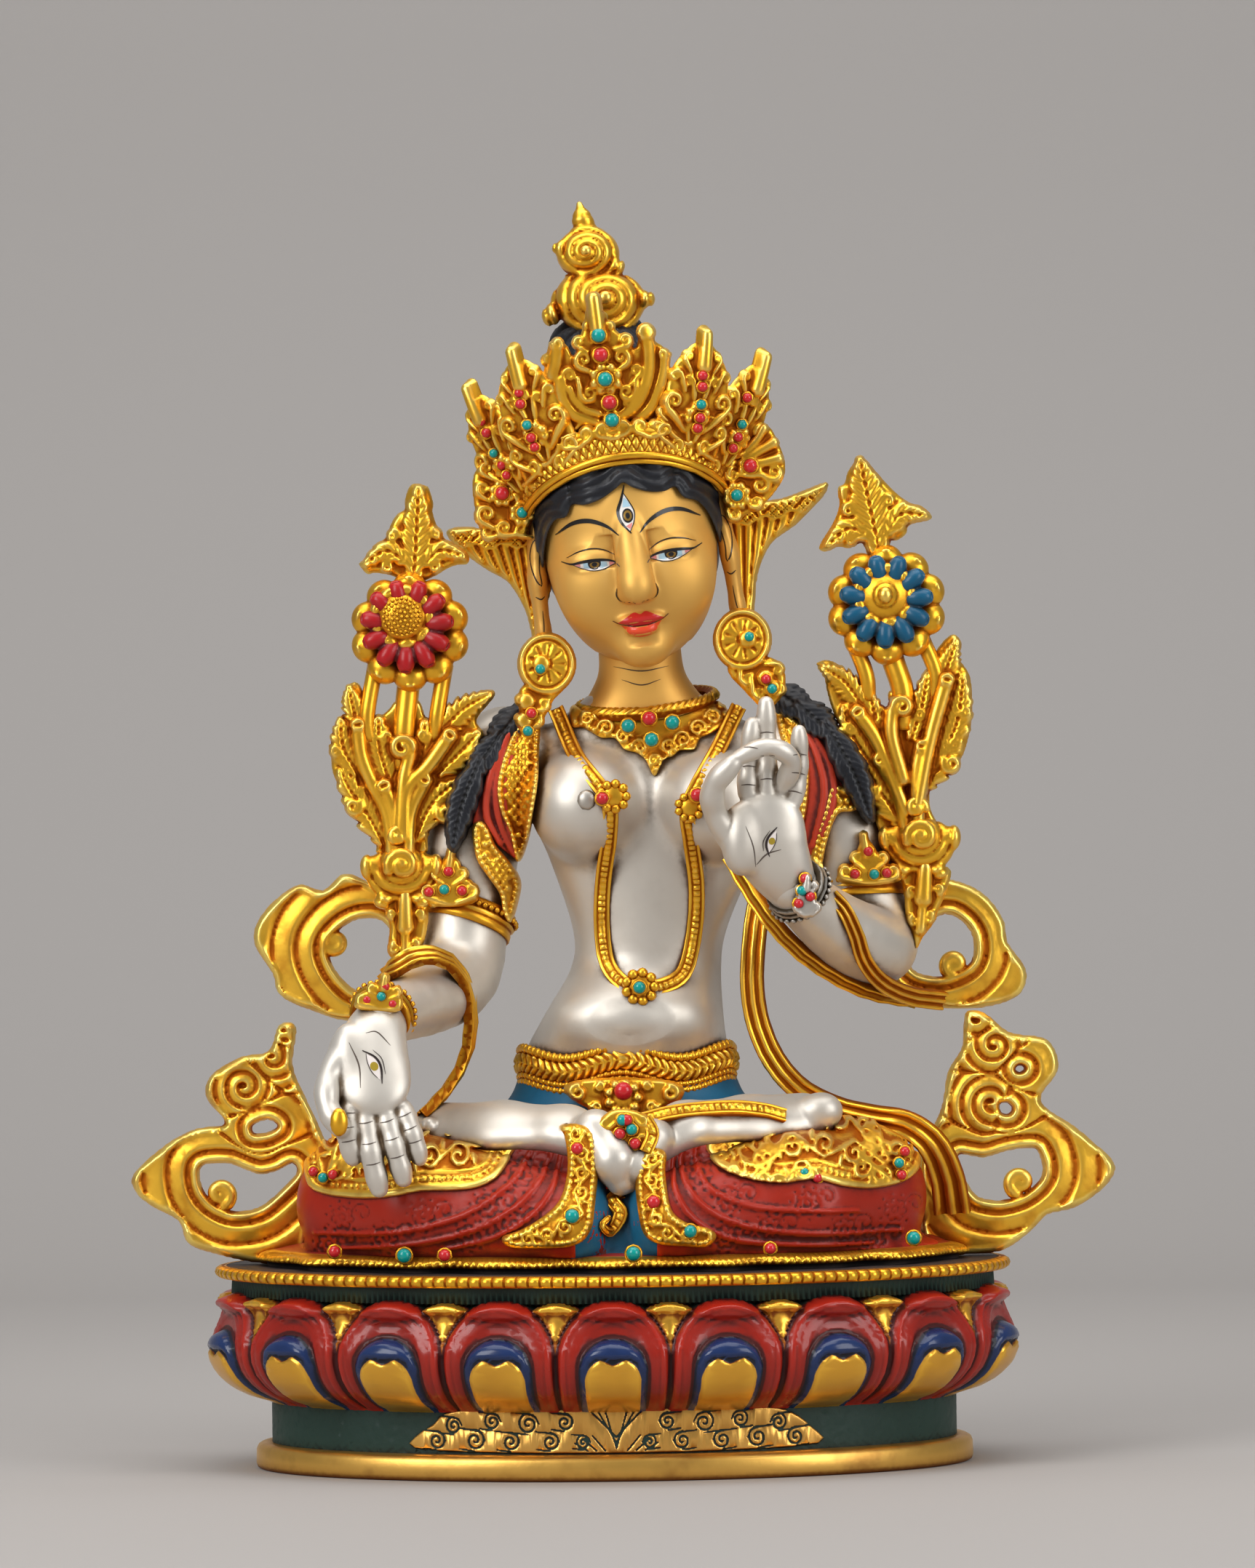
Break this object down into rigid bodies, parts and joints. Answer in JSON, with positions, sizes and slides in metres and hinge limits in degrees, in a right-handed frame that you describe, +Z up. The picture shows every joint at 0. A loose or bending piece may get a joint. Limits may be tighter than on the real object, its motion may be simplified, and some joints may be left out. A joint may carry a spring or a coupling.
{
  "type": "tara figure",
  "caption": "Seated Tara in gilt, silvered and painted cast copper, crowned and flanked by lotus sprays and scarf scrolls, on an oval lotus plinth.",
  "frame": {"origin": "centre of the plinth's flat underside", "axes": "+Z up, -Y the way the figure faces, +X towards the figure's left hand"},
  "size_m": [0.2673, 0.1454, 0.344],
  "materials": {
    "painted_copper": "cast copper painted crimson, navy and dark green, with gilt borders, softly glossy",
    "silvered_copper": "satin silvered copper with grime in the recesses, robes in engraved red enamel and gilt",
    "gilt_copper": "bright fire gilding with orange-brown patina in the recesses",
    "coral": "polished coral cabochon",
    "turquoise": "polished turquoise cabochon"
  },
  "bodies": {
    "root": {"lotus_plinth": "painted_copper", "figure": "silvered_copper", "crown": "gilt_copper", "topknot_jewel": "gilt_copper", "lotus_spray_right": "gilt_copper", "lotus_spray_left": "gilt_copper", "elbow_scroll_right": "gilt_copper", "elbow_scroll_left": "gilt_copper", "knee_scroll_right": "gilt_copper", "knee_scroll_left": "gilt_copper", "stone_crown_centre_1": "turquoise", "stone_crown_centre_2": "coral", "stone_crown_centre_3": "turquoise", "stone_crown_centre_4": "coral", "stone_crown_centre_5": "turquoise", "stone_crown_right_1": "coral", "stone_crown_right_2": "turquoise", "stone_crown_right_3": "coral", "stone_crown_left_1": "coral", "stone_crown_left_2": "turquoise", "stone_crown_left_3": "coral", "stone_crown_outer_right_1": "coral", "stone_crown_outer_right_2": "turquoise", "stone_crown_outer_right_3": "coral", "stone_crown_outer_left_1": "coral", "stone_crown_outer_left_2": "turquoise", "stone_crown_outer_left_3": "coral", "stone_ear_right_1": "turquoise", "stone_ear_right_2": "coral", "stone_ear_left_1": "turquoise", "stone_ear_left_2": "coral", "stone_collar_1": "coral", "stone_collar_2": "turquoise", "stone_collar_3": "turquoise", "stone_collar_4": "turquoise", "stone_necklace_1": "coral", "stone_necklace_2": "coral", "stone_necklace_3": "turquoise", "stone_armlet_right_1": "coral", "stone_armlet_right_2": "turquoise", "stone_armlet_right_3": "coral", "stone_armlet_left_1": "coral", "stone_armlet_left_2": "turquoise", "stone_armlet_left_3": "coral", "stone_bracelet_right_1": "turquoise", "stone_bracelet_left_1": "turquoise", "stone_belt_1": "coral", "stone_knee_right_1": "turquoise", "stone_knee_left_1": "turquoise", "stone_knee_left_2": "turquoise"}
  },
  "joints": []
}
